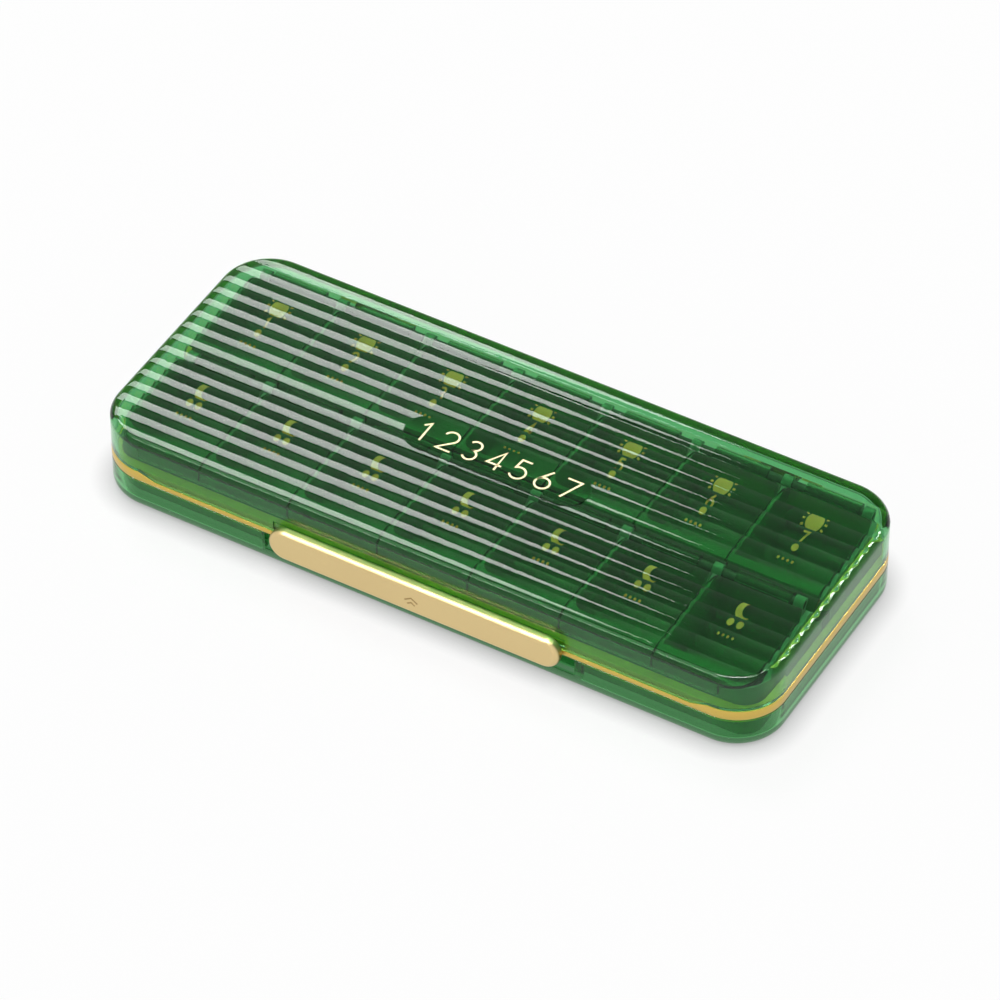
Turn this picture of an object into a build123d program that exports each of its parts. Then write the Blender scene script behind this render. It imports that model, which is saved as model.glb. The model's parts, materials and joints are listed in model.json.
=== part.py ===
"""Seven-day travel pill box: reeded flip lid, plated mid frame, front latch and fourteen capped cells.

The origin lies on the table under the middle of the case. X runs along the case, the front with the
latch faces -Y and Z points up. All sizes are in millimetres and all angles in degrees.
"""
import os
from math import atan2, degrees, hypot

from build123d import *

# Cells and trays: two rows, morning (am) at the back and evening (pm) at the front
DAYS = 7
CELL_PITCH = 23.65
ROW_DEPTH = 28.8
ROW_CHANNEL = 4.0
TRAY_WALL = 1.2
TRAY_FLOOR = 1.2
TRAY_HEIGHT = 14.95
TRAY_INNER_CORNER = 1.5
CELL_ROUND = 2.5
CELL_FLOOR_ROUND = 1.6

# Cell lids: a plate with a finger lip in front and a barrel on the row's rod behind
CELL_LID_THICK = 1.2
CELL_LID_GAP = 0.3
CELL_LID_SEAT = 0.25
CELL_LID_OVERHANG = 1.9
CELL_LID_REAR_ROUND = 4.0
CELL_LID_END_ROUND = 7.0
LIP_THICK = 0.9
LIP_DROP = 2.9
BARREL_RADIUS = 1.2
BARREL_LENGTH = 14.0
BARREL_RELIEF = 1.7
ROD_RADIUS = 0.6
ROD_RISE = 0.5
POST_WIDTH = 2.4
POST_RADIUS = 1.05
END_POST_INSET = 2.2
BARREL_CLEARANCE = 0.25

# Case
WALL = 1.8
FLOOR = 1.6
SIDE_MARGIN = 2.325
FRONT_MARGIN = 2.85
CASE_CORNER = 12.5
TRAY_CORNER_RELIEF = 7.5
BASE_HEIGHT = 8.7
BOTTOM_ROUND = 2.4
FLOOR_ROUND = 1.0
FRAME_HEIGHT = 2.7
SEAM = 0.15
HEADROOM = 1.15
TOP_SKIN = 2.05
TOP_ROUND = 2.0
CEILING_ROUND = 0.9

# Reeds and the smooth plaque on the lid
REED_PITCH = 4.667
REED_RISE = 0.3
SPARE_REEDS = 3
PLAQUE_LENGTH = 48.0
PLAQUE_WIDTH = 11.6
PLAQUE_RISE = 0.1

# Mid frame section
FRAME_SKIRT = 2.8
FRAME_FLANGE = 1.2
FRAME_SPIGOT = 1.5
SPIGOT_CLEARANCE = 0.05
TRAY_CLEARANCE = 0.25
LID_DIP_RAMP = 5.0

# Rear hinge: two groups of three knuckles, each on its own pin
HINGE_SPACING = 108.0
HINGE_STANDOFF = 0.65
FRAME_KNUCKLE = 5.0
LID_KNUCKLE = 9.6
KNUCKLE_GAP = 0.2
HINGE_PIN_RADIUS = 0.7
HINGE_ARM_HEIGHT = 3.0
PIN_CHAMFER = 0.2

# Latch: a flap on a pin along the lid's lower front edge, with a hook under the mid frame
LATCH_LENGTH = 76.0
LATCH_HEIGHT = 8.4
LATCH_THICK = 2.9
LATCH_STANDOFF = 0.2
LATCH_FRONT_ROUND = 1.2
LATCH_BACK_ROUND = 1.0
LATCH_PIVOT_RISE = 2.1
LATCH_PIVOT_DEPTH = 1.45
LATCH_TOP_RISE = 1.7
LATCH_SWING = 80.0
LATCH_PIN_RADIUS = 0.5
LATCH_PIN_LENGTH = 68.0
LUG_WIDTH = 3.0
LUG_SPACING = 18.0
LUG_COUNT = 4
LUG_RADIUS = 0.95
LUG_NECK = 1.0
LUG_DROP = 1.8
HOOK_LENGTH = 30.0
HOOK_REACH = 1.1
HOOK_THICK = 1.4
HOOK_GAP = 0.3
HOOK_LEAD = 0.6
SWING_CLEARANCE = 0.16
BAY_MARGIN = 2.6
BAY_FLOOR = 3.6
BAY_DEPTH = 2.05
BAY_WALL = 1.2

# Fits: fixed pins are held, moving parts run on them
HELD_FIT = 0.02
RUNNING_FIT = 0.06

# Worked-out sizes
tray_length = DAYS * CELL_PITCH + TRAY_WALL
tray_corner = CASE_CORNER - TRAY_CORNER_RELIEF
case_length = tray_length + 2 * (SIDE_MARGIN + WALL)
tray_front = -(ROW_DEPTH + ROW_CHANNEL / 2)
row_shift = ROW_DEPTH + ROW_CHANNEL
case_width = 2 * (ROW_DEPTH + FRONT_MARGIN + WALL) + ROW_CHANNEL
case_front = -case_width / 2
case_rear = case_width / 2
tray_top = FLOOR + TRAY_HEIGHT
plate_bottom = tray_top + CELL_LID_SEAT
plate_top = plate_bottom + CELL_LID_THICK
ceiling = plate_top + HEADROOM
reed_valley = ceiling + TOP_SKIN
reed_crest = reed_valley + REED_RISE
case_height = reed_crest + PLAQUE_RISE
frame_top = BASE_HEIGHT + FRAME_HEIGHT
frame_middle = BASE_HEIGHT + FRAME_HEIGHT / 2
lid_rim = frame_top + SEAM
lid_dip = frame_middle + SEAM
dip_half_length = case_length / 2 - CASE_CORNER
rod_height = plate_bottom + ROD_RISE
pm_axis = tray_front + ROW_DEPTH - TRAY_WALL / 2
am_axis = pm_axis + row_shift
hinge_y = case_rear + HINGE_STANDOFF
hinge_z = frame_middle
knuckle_radius = FRAME_HEIGHT / 2
hinge_group = 2 * FRAME_KNUCKLE + LID_KNUCKLE + 2 * KNUCKLE_GAP
pivot_y = case_front - LATCH_PIVOT_DEPTH
pivot_z = lid_dip + LATCH_PIVOT_RISE
latch_back = case_front - LATCH_STANDOFF
latch_middle = pivot_z + LATCH_TOP_RISE - LATCH_HEIGHT / 2
groove_radius = LATCH_TOP_RISE + SWING_CLEARANCE
bay_half_length = LATCH_LENGTH / 2 + BAY_MARGIN
columns = [(day - (DAYS - 1) / 2) * CELL_PITCH for day in range(DAYS)]
lug_places = [(i - (LUG_COUNT - 1) / 2) * LUG_SPACING for i in range(LUG_COUNT)]
hinge_places = [-HINGE_SPACING / 2, HINGE_SPACING / 2]

os.makedirs("parts", exist_ok=True)


def save(builder, label):
    """Name a finished piece and write it to its own file."""
    builder.part.label = label
    export_step(builder.part, f"parts/{label}.step")


def case_section(inset, mode=Mode.ADD):
    """The case's rounded outline, drawn in by inset on every side."""
    RectangleRounded(case_length - 2 * inset, case_width - 2 * inset, CASE_CORNER - inset, mode=mode)


def lid_dip_outline(clearance):
    """The ramped tongue of lid wall that covers the frame's upper half along the front."""
    low = lid_dip - clearance
    high = lid_rim + SEAM
    half = dip_half_length + clearance
    Polygon(
        (-half, high), (half, high), (half - LID_DIP_RAMP, low), (-half + LID_DIP_RAMP, low), align=None
    )


# Base: a shallow tub whose front wall steps in behind the latch
with BuildPart() as base_shell:
    with BuildSketch():
        case_section(0)
    extrude(amount=BASE_HEIGHT)
    fillet(base_shell.faces().sort_by(Axis.Z)[0].edges(), BOTTOM_ROUND)
    with BuildSketch(Plane.XY.offset(FLOOR)):
        case_section(WALL)
    extrude(amount=BASE_HEIGHT - FLOOR, mode=Mode.SUBTRACT)
    with BuildSketch(Plane.XY.offset(FLOOR)):
        with Locations((0, case_front + WALL / 2)):
            Rectangle(
                2 * (bay_half_length + BAY_WALL),
                BAY_DEPTH + BAY_WALL - WALL / 2,
                align=(Align.CENTER, Align.MIN),
            )
    extrude(amount=BASE_HEIGHT - FLOOR)
    fillet(base_shell.faces().filter_by(Plane.XY).group_by(Axis.Z)[1].edges(), FLOOR_ROUND)
    with BuildSketch(Plane.XY.offset(BAY_FLOOR)):
        with Locations((0, case_front + BAY_DEPTH)):
            Rectangle(2 * bay_half_length, 2 * BAY_DEPTH, align=(Align.CENTER, Align.MAX))
    extrude(amount=BASE_HEIGHT - BAY_FLOOR, mode=Mode.SUBTRACT)
save(base_shell, "base_shell")

# Mid frame: plated ring with a flange round the trays, a spigot in the base and hinge knuckles behind
with BuildPart() as mid_frame:
    with BuildSketch(Plane.XY.offset(BASE_HEIGHT)):
        case_section(0)
        case_section(FRAME_SKIRT, Mode.SUBTRACT)
    extrude(amount=FRAME_HEIGHT)
    with BuildSketch(Plane.XY.offset(frame_top - FRAME_FLANGE)):
        case_section(FRAME_SKIRT / 2)
        RectangleRounded(
            tray_length + 2 * TRAY_CLEARANCE,
            -2 * tray_front + 2 * TRAY_CLEARANCE,
            tray_corner + TRAY_CLEARANCE,
            mode=Mode.SUBTRACT,
        )
    extrude(amount=FRAME_FLANGE)
    with BuildSketch(Plane.XY.offset(BASE_HEIGHT - FRAME_SPIGOT)):
        case_section(WALL + SPIGOT_CLEARANCE)
        case_section(FRAME_SKIRT, Mode.SUBTRACT)
        with Locations((0, case_front)):
            Rectangle(
                2 * (bay_half_length + BAY_WALL + SEAM), 2 * (BAY_DEPTH + BAY_WALL + SEAM), mode=Mode.SUBTRACT
            )
    extrude(amount=FRAME_SPIGOT)
    with BuildSketch(Plane.XZ.offset(-case_front - WALL - SEAM)):
        lid_dip_outline(SEAM)
    extrude(amount=2 * WALL, mode=Mode.SUBTRACT)
    for place in hinge_places:
        with BuildSketch(Plane.YZ.offset(place - hinge_group / 2)):
            with Locations((hinge_y, hinge_z)):
                Circle(knuckle_radius)
            with Locations((case_rear - HINGE_STANDOFF, hinge_z)):
                Rectangle(2 * HINGE_STANDOFF, FRAME_HEIGHT, align=(Align.MIN, Align.CENTER))
        extrude(amount=hinge_group)
        with BuildSketch(Plane.YZ.offset(place - LID_KNUCKLE / 2 - KNUCKLE_GAP)):
            with Locations((hinge_y, hinge_z)):
                Circle(knuckle_radius + KNUCKLE_GAP)
            with Locations((case_rear, hinge_z)):
                Rectangle(2 * knuckle_radius, FRAME_HEIGHT, align=(Align.MIN, Align.CENTER))
        extrude(amount=LID_KNUCKLE + 2 * KNUCKLE_GAP, mode=Mode.SUBTRACT)
        with BuildSketch(Plane.YZ.offset(place - hinge_group / 2)):
            with Locations((hinge_y, hinge_z)):
                Circle(HINGE_PIN_RADIUS + HELD_FIT)
        extrude(amount=hinge_group, mode=Mode.SUBTRACT)
save(mid_frame, "mid_frame")

# Lid: rounded cover with full-length reeds, a smooth plaque, hinge knuckles and latch lugs
with BuildPart() as lid_shell:
    with BuildSketch(Plane.XY.offset(lid_rim)):
        case_section(0)
    extrude(amount=case_height - lid_rim)
    fillet(lid_shell.faces().sort_by(Axis.Z)[-1].edges(), TOP_ROUND)
    reed_count = 2 * round(case_width / REED_PITCH / 2) + SPARE_REEDS
    field = reed_count * REED_PITCH
    with BuildSketch(Plane.YZ.offset(-case_length / 2)):
        with BuildLine():
            for reed in range(reed_count):
                start = -field / 2 + reed * REED_PITCH
                crest = (start + REED_PITCH / 2, reed_crest)
                ThreePointArc((start, reed_valley), crest, (start + REED_PITCH, reed_valley))
            Polyline((field / 2, reed_valley), (field / 2, 0), (-field / 2, 0), (-field / 2, reed_valley))
        make_face()
    extrude(amount=case_length, mode=Mode.INTERSECT)
    with BuildSketch(Plane.XY.offset(ceiling)):
        SlotOverall(PLAQUE_LENGTH, PLAQUE_WIDTH)
    extrude(amount=case_height - ceiling)
    with BuildSketch(Plane.XY.offset(lid_rim)):
        case_section(WALL)
    extrude(amount=ceiling - lid_rim, mode=Mode.SUBTRACT)
    ceiling_face = lid_shell.faces().filter_by(lambda face: abs(face.center().Z - ceiling) < SEAM)
    fillet(ceiling_face.edges(), CEILING_ROUND)
    with BuildSketch(Plane.XZ.offset(-case_front - WALL)):
        lid_dip_outline(0)
    extrude(amount=WALL)
    with BuildSketch(Plane.YZ.offset(-LATCH_LENGTH / 2 - LATCH_STANDOFF)):
        with Locations((pivot_y, pivot_z)):
            Circle(groove_radius)
    extrude(amount=LATCH_LENGTH + 2 * LATCH_STANDOFF, mode=Mode.SUBTRACT)
    for place in lug_places:
        with BuildSketch(Plane.YZ.offset(place - LUG_WIDTH / 2)):
            with Locations((pivot_y, pivot_z)):
                Circle(LUG_RADIUS)
                Rectangle(LUG_NECK, LUG_DROP, align=(Align.CENTER, Align.MAX))
            with Locations((pivot_y - LUG_NECK / 2, pivot_z - LUG_DROP)):
                Rectangle(LATCH_PIVOT_DEPTH + LUG_NECK, LUG_NECK, align=(Align.MIN, Align.MIN))
        extrude(amount=LUG_WIDTH)
        with BuildSketch(Plane.YZ.offset(place - LUG_WIDTH / 2)):
            with Locations((pivot_y, pivot_z)):
                Circle(LATCH_PIN_RADIUS + RUNNING_FIT)
        extrude(amount=LUG_WIDTH, mode=Mode.SUBTRACT)
    for place in hinge_places:
        with BuildSketch(Plane.YZ.offset(place - LID_KNUCKLE / 2)):
            with Locations((hinge_y, hinge_z)):
                Circle(knuckle_radius)
            Polygon(
                (case_rear - WALL / 2, lid_rim),
                (case_rear - WALL / 2, lid_rim + HINGE_ARM_HEIGHT),
                (case_rear, lid_rim + HINGE_ARM_HEIGHT),
                (hinge_y + knuckle_radius, hinge_z),
                (hinge_y, hinge_z),
                (case_rear + SEAM, lid_rim),
                align=None,
            )
        extrude(amount=LID_KNUCKLE)
        with BuildSketch(Plane.YZ.offset(place - LID_KNUCKLE / 2)):
            with Locations((hinge_y, hinge_z)):
                Circle(HINGE_PIN_RADIUS + RUNNING_FIT)
        extrude(amount=LID_KNUCKLE, mode=Mode.SUBTRACT)
save(lid_shell, "lid_shell")

# Case hinge pins
for side, place in zip(("left", "right"), hinge_places):
    with BuildPart() as hinge_pin:
        with BuildSketch(Plane.YZ.offset(place - hinge_group / 2)):
            with Locations((hinge_y, hinge_z)):
                Circle(HINGE_PIN_RADIUS)
        extrude(amount=hinge_group)
        chamfer(hinge_pin.edges().filter_by(GeomType.CIRCLE), PIN_CHAMFER)
    save(hinge_pin, f"hinge_pin_{side}")

# Latch flap: rounded bar, slotted behind for the lid's lugs, with a hook that reaches under the frame
with BuildPart() as latch_bar:
    with BuildSketch(Plane.XZ.offset(-latch_back)):
        with Locations((0, latch_middle)):
            SlotOverall(LATCH_LENGTH, LATCH_HEIGHT)
    extrude(amount=LATCH_THICK)
    fillet(latch_bar.faces().sort_by(Axis.Y)[0].edges(), LATCH_FRONT_ROUND)
    fillet(latch_bar.faces().sort_by(Axis.Y)[-1].edges(), LATCH_BACK_ROUND)
    hook_top = BASE_HEIGHT - HOOK_GAP
    hook_tip = case_front + HOOK_REACH
    with BuildSketch(Plane.YZ.offset(-HOOK_LENGTH / 2)):
        Polygon(
            (latch_back - LATCH_BACK_ROUND, hook_top),
            (hook_tip, hook_top),
            (hook_tip, hook_top - HOOK_THICK + HOOK_LEAD),
            (hook_tip - HOOK_LEAD, hook_top - HOOK_THICK),
            (latch_back - LATCH_BACK_ROUND, hook_top - HOOK_THICK),
            align=None,
        )
    extrude(amount=HOOK_LENGTH)
    slot_width = LUG_WIDTH + 2 * KNUCKLE_GAP
    slot_depth = LATCH_PIVOT_DEPTH - LATCH_STANDOFF
    slot_reach = hypot(LUG_DROP, slot_depth) + SWING_CLEARANCE
    slot_start = -90 - degrees(atan2(LUG_NECK / 2 + SWING_CLEARANCE, LUG_DROP))
    slot_end = LATCH_SWING - degrees(atan2(LUG_DROP - LUG_NECK - SWING_CLEARANCE, slot_depth))
    for place in lug_places:
        with BuildSketch(Plane.YZ.offset(place - slot_width / 2)):
            with Locations((pivot_y, pivot_z)):
                Circle(LUG_RADIUS + SWING_CLEARANCE)
                Rectangle(
                    LUG_NECK + 2 * SWING_CLEARANCE,
                    LUG_DROP + SWING_CLEARANCE,
                    align=(Align.CENTER, Align.MAX),
                )
            with BuildLine():
                rim = CenterArc((pivot_y, pivot_z), slot_reach, slot_start, slot_end - slot_start)
                Polyline(rim @ 1, (pivot_y, pivot_z), rim @ 0)
            make_face()
        extrude(amount=slot_width, mode=Mode.SUBTRACT)
    with BuildSketch(Plane.YZ.offset(-LATCH_PIN_LENGTH / 2)):
        with Locations((pivot_y, pivot_z)):
            Circle(LATCH_PIN_RADIUS + HELD_FIT)
    extrude(amount=LATCH_PIN_LENGTH, mode=Mode.SUBTRACT)
save(latch_bar, "latch_bar")

# Latch pin
with BuildPart() as latch_pin:
    with BuildSketch(Plane.YZ.offset(-LATCH_PIN_LENGTH / 2)):
        with Locations((pivot_y, pivot_z)):
            Circle(LATCH_PIN_RADIUS)
    extrude(amount=LATCH_PIN_LENGTH)
save(latch_pin, "latch_pin")


def outer_corner(vertices, outward):
    """The corner of an outline that lies furthest along X on the given side."""
    return vertices.sort_by(Axis.X)[-1 if outward > 0 else 0]


# Trays: one strip of seven cells for each row, with posts behind that carry the row's rod
for row, front, axis_y in (("pm", tray_front, pm_axis), ("am", tray_front + row_shift, am_axis)):
    outer_side = 0 if row == "pm" else -1
    middle = front + ROW_DEPTH / 2
    half = tray_length / 2
    with BuildPart() as tray:
        with BuildSketch(Plane.XY.offset(FLOOR)) as outline:
            with Locations((0, middle)):
                Rectangle(tray_length, ROW_DEPTH)
            corners = outline.vertices().group_by(Axis.Y)
            fillet(corners[outer_side], tray_corner)
            fillet(corners[-1 - outer_side], TRAY_INNER_CORNER)
        extrude(amount=TRAY_HEIGHT)
        for day, column in enumerate(columns):
            with BuildSketch(Plane.XY.offset(FLOOR + TRAY_FLOOR)) as cell:
                with Locations((column, middle)):
                    Rectangle(CELL_PITCH - TRAY_WALL, ROW_DEPTH - 2 * TRAY_WALL)
                rounds = cell.vertices()
                if day in (0, DAYS - 1):
                    sharp = outer_corner(rounds.group_by(Axis.Y)[outer_side], column)
                    fillet(sharp, max(tray_corner - TRAY_WALL, CELL_ROUND))
                    rounds = rounds - [sharp]
                fillet(rounds, CELL_ROUND)
            extrude(amount=TRAY_HEIGHT - TRAY_FLOOR, mode=Mode.SUBTRACT)
        cell_floors = tray.faces().filter_by(Plane.XY).group_by(Axis.Z)[1]
        fillet(cell_floors.edges(), CELL_FLOOR_ROUND)
        with BuildSketch(Plane.XY.offset(tray_top)):
            with Locations((0, axis_y)):
                Rectangle(tray_length - 2 * tray_corner, 2 * TRAY_WALL)
        wall_drop = tray_top - (rod_height - BARREL_RADIUS - BARREL_CLEARANCE)
        extrude(amount=-wall_drop, mode=Mode.SUBTRACT)
        post_drop = rod_height - tray_top + 2 * wall_drop
        dividers = [(day - DAYS / 2) * CELL_PITCH for day in range(1, DAYS)]
        end_post = half - END_POST_INSET - POST_WIDTH / 2
        for place in [-end_post] + dividers + [end_post]:
            with BuildSketch(Plane.YZ.offset(place - POST_WIDTH / 2)):
                with Locations((axis_y, rod_height)):
                    Circle(POST_RADIUS)
                    Rectangle(2 * POST_RADIUS, post_drop, align=(Align.CENTER, Align.MAX))
            extrude(amount=POST_WIDTH)
        with BuildSketch(Plane.YZ.offset(-half)):
            with Locations((axis_y, rod_height)):
                Circle(ROD_RADIUS + HELD_FIT)
        extrude(amount=tray_length, mode=Mode.SUBTRACT)
    save(tray, f"{row}_tray")

    rod_length = 2 * end_post + POST_WIDTH
    with BuildPart() as rod:
        with BuildSketch(Plane.YZ.offset(-rod_length / 2)):
            with Locations((axis_y, rod_height)):
                Circle(ROD_RADIUS)
        extrude(amount=rod_length)
    save(rod, f"{row}_rod")

    plate_front = front - CELL_LID_OVERHANG
    plate_rear = axis_y - BARREL_RELIEF
    plate_width = CELL_PITCH - CELL_LID_GAP
    for day, column in enumerate(columns):
        rounded_end = row == "pm" and day in (0, DAYS - 1)
        with BuildPart() as cell_lid:
            with BuildSketch(Plane.XY.offset(plate_bottom)) as plate:
                with Locations((column, plate_front)):
                    Rectangle(plate_width, plate_rear - plate_front, align=(Align.CENTER, Align.MIN))
                fillet(plate.vertices().group_by(Axis.Y)[-1], CELL_LID_REAR_ROUND)
                if rounded_end:
                    fillet(outer_corner(plate.vertices().group_by(Axis.Y)[0], column), CELL_LID_END_ROUND)
            extrude(amount=CELL_LID_THICK)
            lip_trim = CELL_LID_END_ROUND if rounded_end else 0
            lip_shift = -lip_trim / 2 if column > 0 else lip_trim / 2
            with BuildSketch(Plane.XY.offset(plate_bottom)):
                with Locations((column + lip_shift, plate_front)):
                    Rectangle(plate_width - lip_trim, LIP_THICK, align=(Align.CENTER, Align.MIN))
            extrude(amount=-LIP_DROP)
            with BuildSketch(Plane.YZ.offset(column - BARREL_LENGTH / 2)):
                with Locations((axis_y, rod_height)):
                    Circle(BARREL_RADIUS)
                with Locations((axis_y, plate_bottom)):
                    Rectangle(2 * BARREL_RELIEF, CELL_LID_THICK, align=(Align.MAX, Align.MIN))
            extrude(amount=BARREL_LENGTH)
            with BuildSketch(Plane.YZ.offset(column - BARREL_LENGTH / 2)):
                with Locations((axis_y, rod_height)):
                    Circle(ROD_RADIUS + RUNNING_FIT)
            extrude(amount=BARREL_LENGTH, mode=Mode.SUBTRACT)
        save(cell_lid, f"{row}_lid_{day + 1}")
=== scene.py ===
# %% [markdown]
# # A travel pill box in clear green plastic
#
# The real object is a flat case of clear emerald plastic with a ribbed lid, a gilt ring between lid and
# base, a champagne flap for a latch, and two strips of seven cells with printed flip lids inside.
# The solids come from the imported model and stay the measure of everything. This script gives them
# surfaces fine enough for polished plastic, then finishes, prints, light and a camera.

# %% Load the frame
import json
from math import cos, radians, sin

import bmesh
import bpy
import numpy as np
from mathutils import Matrix, Vector

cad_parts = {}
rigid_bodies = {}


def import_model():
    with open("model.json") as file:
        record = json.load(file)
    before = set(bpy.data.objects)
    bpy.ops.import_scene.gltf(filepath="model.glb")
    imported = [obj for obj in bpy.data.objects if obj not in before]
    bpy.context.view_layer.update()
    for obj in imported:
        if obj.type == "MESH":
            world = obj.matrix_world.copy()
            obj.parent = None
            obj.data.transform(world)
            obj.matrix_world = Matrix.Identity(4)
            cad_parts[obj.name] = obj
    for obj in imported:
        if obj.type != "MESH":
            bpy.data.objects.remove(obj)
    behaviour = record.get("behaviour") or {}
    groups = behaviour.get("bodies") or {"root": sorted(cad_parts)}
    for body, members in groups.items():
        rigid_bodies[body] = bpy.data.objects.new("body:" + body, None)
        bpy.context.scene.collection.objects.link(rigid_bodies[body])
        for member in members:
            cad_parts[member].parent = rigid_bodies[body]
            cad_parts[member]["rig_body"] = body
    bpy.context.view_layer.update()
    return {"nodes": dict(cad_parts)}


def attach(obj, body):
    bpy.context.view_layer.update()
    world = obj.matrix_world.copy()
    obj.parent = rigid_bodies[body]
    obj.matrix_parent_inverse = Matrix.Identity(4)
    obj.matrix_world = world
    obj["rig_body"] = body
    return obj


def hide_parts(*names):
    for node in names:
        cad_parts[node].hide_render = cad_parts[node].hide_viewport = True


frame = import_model()
scene = bpy.context.scene
scene.view_settings.view_transform = "Standard"
MM = 0.001

# %% [markdown]
# ## Camera
#
# A long lens from a distance keeps the sides of the case nearly parallel, as product pictures do. The
# camera could be aimed with a constraint, but three plain vectors (towards the camera, to the right and
# up) say exactly where it stands and how it is turned.

# %% Camera
AZIMUTH = radians(30.109)
ELEVATION = radians(44.029)
CAMERA_DISTANCE = 1519.76
AIM = Vector((0, 0, 10.855))
SIDE_SHIFT = 0.727
UP_SHIFT = -1.317
LENS = 239.23
SENSOR = 36
FAR_CLIP = 60
towards = Vector((sin(AZIMUTH) * cos(ELEVATION), -cos(AZIMUTH) * cos(ELEVATION), sin(ELEVATION)))
rightwards = Vector((cos(AZIMUTH), sin(AZIMUTH), 0))
upwards = towards.cross(rightwards)
camera = bpy.data.objects.new("camera", bpy.data.cameras.new("camera"))
scene.collection.objects.link(camera)
camera.data.lens = LENS
camera.data.sensor_width = SENSOR
camera.data.clip_end = FAR_CLIP
camera.location = (AIM + towards * CAMERA_DISTANCE + rightwards * SIDE_SHIFT + upwards * UP_SHIFT) * MM
camera.rotation_mode = "QUATERNION"
camera.rotation_quaternion = Matrix((rightwards, upwards, towards)).transposed().to_quaternion()
scene.camera = camera
print("camera at", [round(v, 3) for v in camera.location])

# %% [markdown]
# ## Sizes
#
# The surfaces below repeat the case's main sizes in millimetres, so that they lie on the solids.

# %% Sizes of the case
HALF_LENGTH = 87.5
HALF_WIDTH = 35.45
CORNER = 12.5
WALL = 1.8
FRAME_BOTTOM = 8.7
FRAME_TOP = 11.4
LID_RIM = 11.55
LID_DIP = 10.2
RIM_EASE = 0.1
CEILING = 19.15
CEILING_ROUND = 0.9
REED_PITCH = 4.667
REED_CREST = 21.5
REED_RISE = 0.30
LID_TOP = 21.55
TOP_ROUND = 2.0
reed_radius = (REED_PITCH**2 / 4 + REED_RISE**2) / (2 * REED_RISE)
straight_x = HALF_LENGTH - CORNER
straight_y = HALF_WIDTH - CORNER
MIDDLE_STATION = 20.0
CORNER_TURNS = np.arange(3, 90, 3.0)
DAYS = range(1, 8)
MIDDLE_DAY = 4
print("reed radius", round(reed_radius, 3))

# %% [markdown]
# ## Mesh helpers
#
# Every new surface is a grid of points worked out as whole arrays. The helpers turn a grid of point
# numbers into four-sided faces, and put points and faces into a mesh that rides on a body. Points that
# fall on one another are merged, so a grid may collapse where two features meet.


# %% Mesh helpers
MERGE_DISTANCE = 2e-6
SHARP_ANGLE = radians(32)


def grid_faces(index, closed=False):
    """Faces between neighbouring rows and columns of a table of point numbers."""
    if closed:
        index = np.concatenate([index, index[:, :1]], axis=1)
    corners = (index[:-1, :-1], index[:-1, 1:], index[1:, 1:], index[1:, :-1])
    return np.stack(corners, axis=-1).reshape(-1, 4)


def put_piece(name, points, faces, finish, body, nodes=()):
    """A mesh piece from points in millimetres, merged, turned outwards and set on its body."""
    mesh = bpy.data.meshes.new(name)
    mesh.from_pydata((np.asarray(points) * MM).tolist(), [], [list(map(int, f)) for f in faces])
    work = bmesh.new()
    work.from_mesh(mesh)
    bmesh.ops.remove_doubles(work, verts=work.verts, dist=MERGE_DISTANCE)
    bmesh.ops.recalc_face_normals(work, faces=work.faces)
    for face in work.faces:
        face.smooth = True
    work.to_mesh(mesh)
    work.free()
    mesh.set_sharp_from_angle(angle=SHARP_ANGLE)
    mesh.materials.append(finish)
    piece = bpy.data.objects.new(name, mesh)
    scene.collection.objects.link(piece)
    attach(piece, body)
    if nodes:
        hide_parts(*nodes)
    print(name, len(mesh.vertices), "points", len(mesh.polygons), "faces")
    return piece


# %% [markdown]
# ## Finishes
#
# The case is clear green plastic, so most of its look is what light does inside it: the shader tints
# light at each surface, a volume takes more away along the path, and shadows let tinted light through.
# Two small node groups give what every moulded or plated surface has: slow ripple from the mould and a
# fine satin grain.


# %% Node groups
def new_group(name, outputs, inputs):
    """An empty shader group with value inputs (name, default) and outputs (name, kind)."""
    group = bpy.data.node_groups.new(name, "ShaderNodeTree")
    for label, value in inputs:
        socket = group.interface.new_socket(label, in_out="INPUT", socket_type="NodeSocketFloat")
        socket.default_value = value
    for label, kind in outputs:
        group.interface.new_socket(label, in_out="OUTPUT", socket_type=kind)
    entry = group.nodes.new("NodeGroupInput")
    leave = group.nodes.new("NodeGroupOutput")
    return group, entry, leave


def ripple_group():
    """Height and roughness of a polished moulding: slow noise for height, finer noise for roughness."""
    outputs = [("Height", "NodeSocketFloat"), ("Roughness", "NodeSocketFloat")]
    inputs = [("Ripple Scale", 60.0), ("Low", 0.01), ("High", 0.04)]
    group, entry, leave = new_group("mould_ripple", outputs, inputs)
    nodes, links = group.nodes, group.links
    where = nodes.new("ShaderNodeTexCoord")
    slow = nodes.new("ShaderNodeTexNoise")
    slow.inputs["Detail"].default_value = 1.0
    links.new(where.outputs["Object"], slow.inputs["Vector"])
    links.new(entry.outputs["Ripple Scale"], slow.inputs["Scale"])
    fine = nodes.new("ShaderNodeTexNoise")
    fine.inputs["Scale"].default_value = 700.0
    fine.inputs["Detail"].default_value = 3.0
    links.new(where.outputs["Object"], fine.inputs["Vector"])
    span = nodes.new("ShaderNodeMapRange")
    links.new(fine.outputs["Fac"], span.inputs["Value"])
    links.new(entry.outputs["Low"], span.inputs["To Min"])
    links.new(entry.outputs["High"], span.inputs["To Max"])
    links.new(slow.outputs["Fac"], leave.inputs["Height"])
    links.new(span.outputs["Result"], leave.inputs["Roughness"])
    return group


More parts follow.
